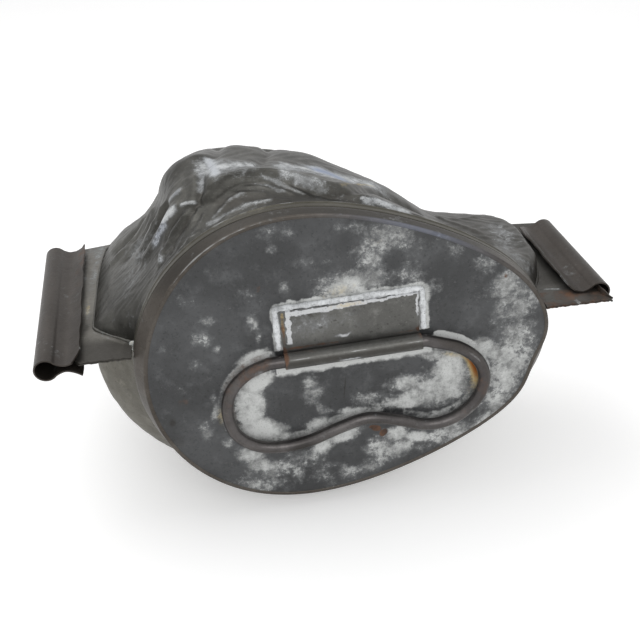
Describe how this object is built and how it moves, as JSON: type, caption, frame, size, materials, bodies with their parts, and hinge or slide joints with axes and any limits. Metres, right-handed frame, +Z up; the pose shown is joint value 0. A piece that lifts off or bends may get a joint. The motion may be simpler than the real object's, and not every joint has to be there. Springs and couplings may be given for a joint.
{
  "type": "ice cream mould",
  "caption": "Two-part tinned ice cream mould lying on its side: pressed bird-like body, flat egg-shaped lid with a hinged wire bail, and slide-on clips along both flanges.",
  "frame": {"origin": "on the flat rest under the lower half shell, 50 mm behind the plane where the lid's rim ends", "axes": "+X along the parting line from the lid's broad end to its small end, +Y from the lid into the body, +Z up"},
  "size_m": [0.2712, 0.155, 0.1652],
  "materials": {
    "tinned_sheet": "dull, worn tin plate",
    "lid_tin": "dull, blotched tin plate",
    "clip_tin": "dull brownish tin plate",
    "bail_wire": "dark, lightly rusted wire",
    "old_solder": "pale matt solder"
  },
  "bodies": {
    "mould": {"lower_half_shell": "tinned_sheet", "lower_left_flange": "tinned_sheet", "lower_left_solder_seam": "old_solder", "lower_mouth_band": "tinned_sheet", "lower_right_flange": "tinned_sheet", "lower_right_solder_seam": "old_solder", "upper_half_shell": "tinned_sheet", "upper_left_flange": "tinned_sheet", "upper_left_solder_seam": "old_solder", "upper_mouth_band": "tinned_sheet", "upper_right_flange": "tinned_sheet", "upper_right_solder_seam": "old_solder"},
    "lid": {"lid_plate": "lid_tin", "lid_rim": "clip_tin", "handle_strap": "tinned_sheet", "strap_solder": "old_solder"},
    "handle": {"bail_handle": "bail_wire"},
    "left_clip": {"left_slide_clip": "clip_tin"},
    "right_clip": {"right_slide_clip": "clip_tin"}
  },
  "joints": [
    {"name": "lid_pull", "type": "slide", "parent": "mould", "child": "lid", "axis": [0, -1, 0], "range_m": [0, 0.06]},
    {"name": "handle_swing", "type": "hinge", "parent": "lid", "child": "handle", "pos_m": [0.01063, -0.06005, 0.09173], "axis": [-0.9995, 0, -0.0332], "range_deg": [0, 172]},
    {"name": "left_clip_slide", "type": "slide", "parent": "mould", "child": "left_clip", "axis": [-0.0333, 0.9994, 0], "range_m": [0, 0.125]},
    {"name": "right_clip_slide", "type": "slide", "parent": "mould", "child": "right_clip", "axis": [-0.0494, 0.9988, 0], "range_m": [0, 0.09]}
  ]
}
